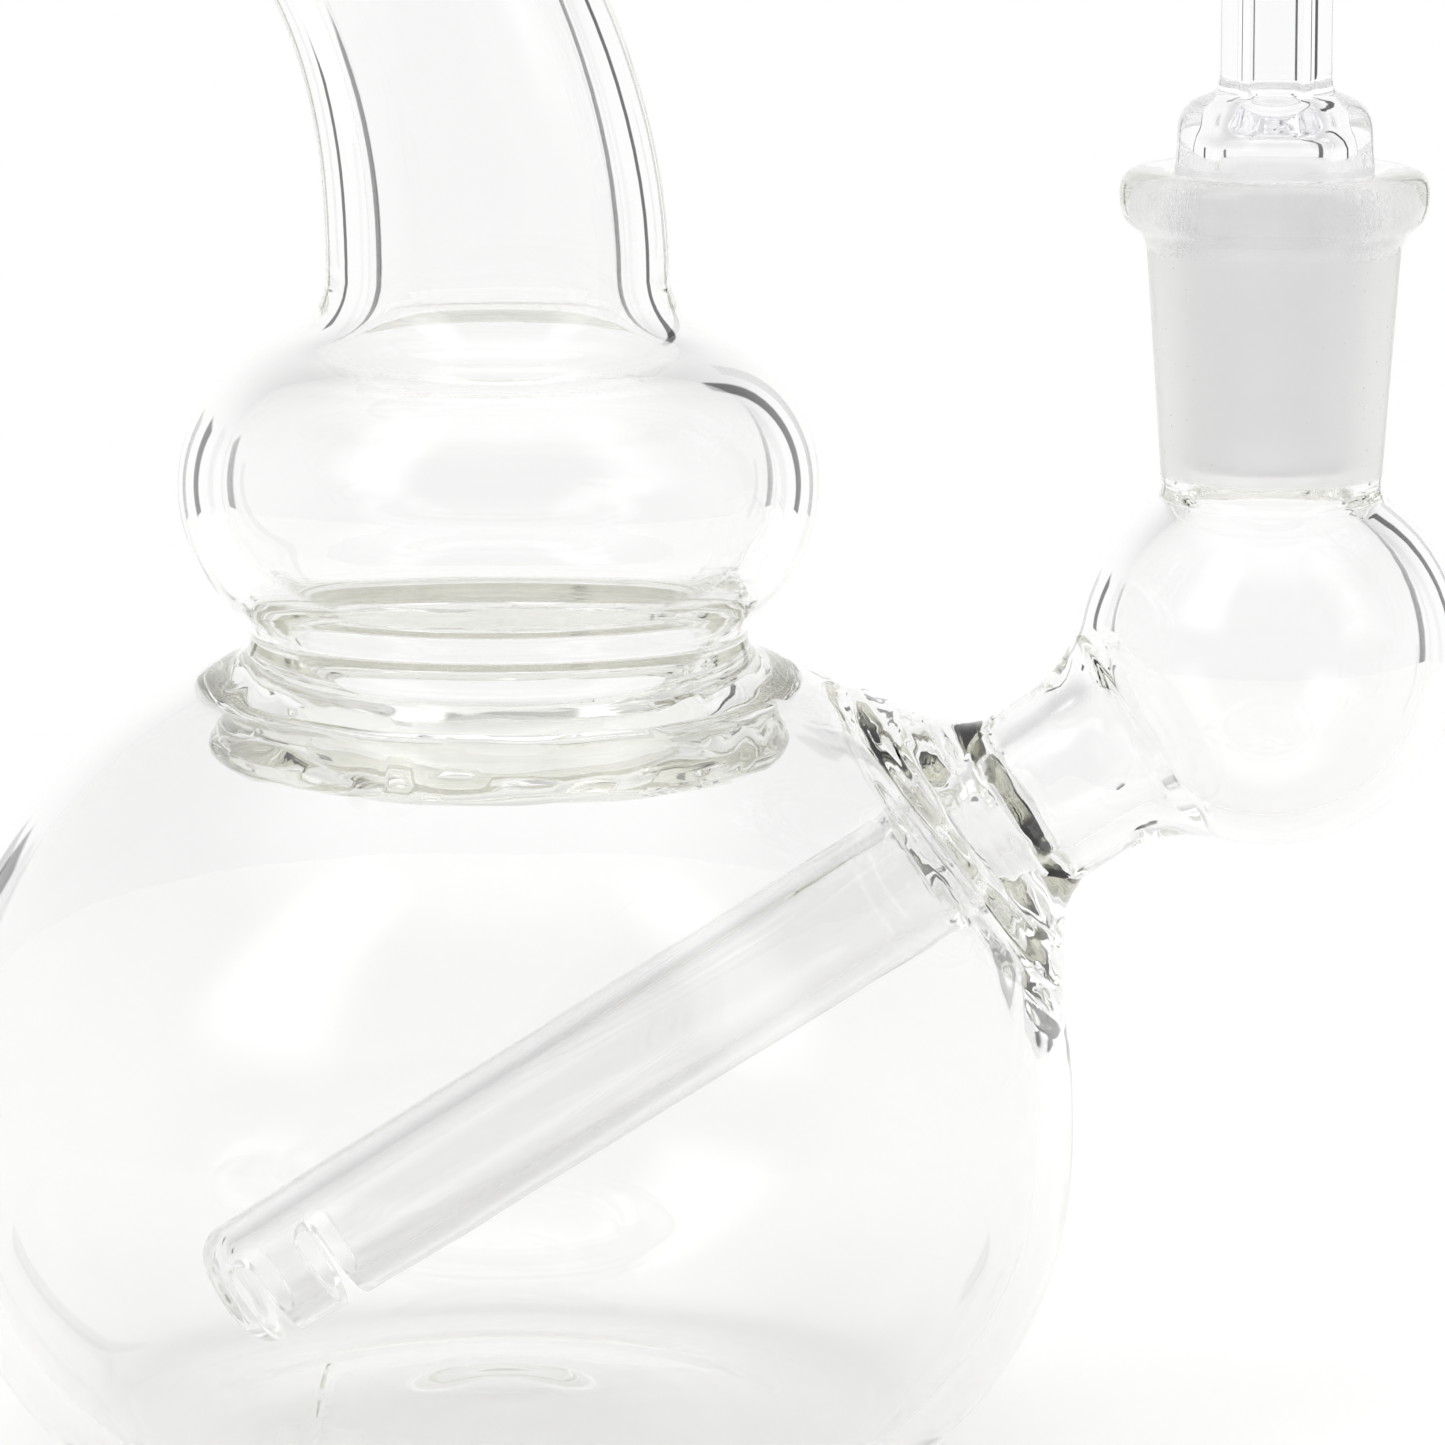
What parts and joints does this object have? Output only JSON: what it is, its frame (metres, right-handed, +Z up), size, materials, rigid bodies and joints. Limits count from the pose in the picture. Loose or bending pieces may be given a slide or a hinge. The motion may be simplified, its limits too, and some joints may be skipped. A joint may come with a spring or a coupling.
{
  "type": "glass water pipe",
  "caption": "Blown-glass bubbler with a squat water chamber, a bulged S-bend neck, a slanted diffuser stem and a lift-out quartz bucket in a tapered ground joint",
  "frame": {"origin": "on the table plane, on the water chamber's own axis", "axes": "+Z up; +X from the chamber's axis towards the side arm and its ground joint, so the neck leans to -X; +Y completes the frame and is square to the object's mirror plane"},
  "size_m": [0.155, 0.0844, 0.1906],
  "materials": {
    "borosilicate": "clear, polished by flame, faintly green in thick places",
    "ground_glass": "clear outside, ground to an even frost on the tapered bore",
    "quartz": "clear, colourless, polished by flame",
    "ground_quartz": "ground to an even frost on the tapered outside"
  },
  "bodies": {
    "vessel": {"chamber_foot": "borosilicate", "chamber_lower_wall": "borosilicate", "chamber_upper_wall": "borosilicate", "chamber_shoulder": "borosilicate", "neck_seal": "borosilicate", "neck_bulb": "borosilicate", "neck_lower_bend": "borosilicate", "neck_upper_bend": "borosilicate", "mouthpiece": "borosilicate", "mouth_lip": "borosilicate", "arm_seal": "borosilicate", "side_arm": "borosilicate", "joint_ball": "borosilicate", "ground_socket": "ground_glass", "socket_rim": "borosilicate", "stem_tube": "borosilicate", "diffuser_tip": "borosilicate"},
    "insert": {"insert_cone": "ground_quartz", "insert_shoulder": "quartz", "insert_arm": "quartz", "bucket_cup": "quartz", "bucket_floor": "quartz"}
  },
  "joints": [
    {"name": "insert_lift", "type": "slide", "parent": "vessel", "child": "insert", "axis": [0, 0, 1], "range_m": [0, 0.04]}
  ]
}
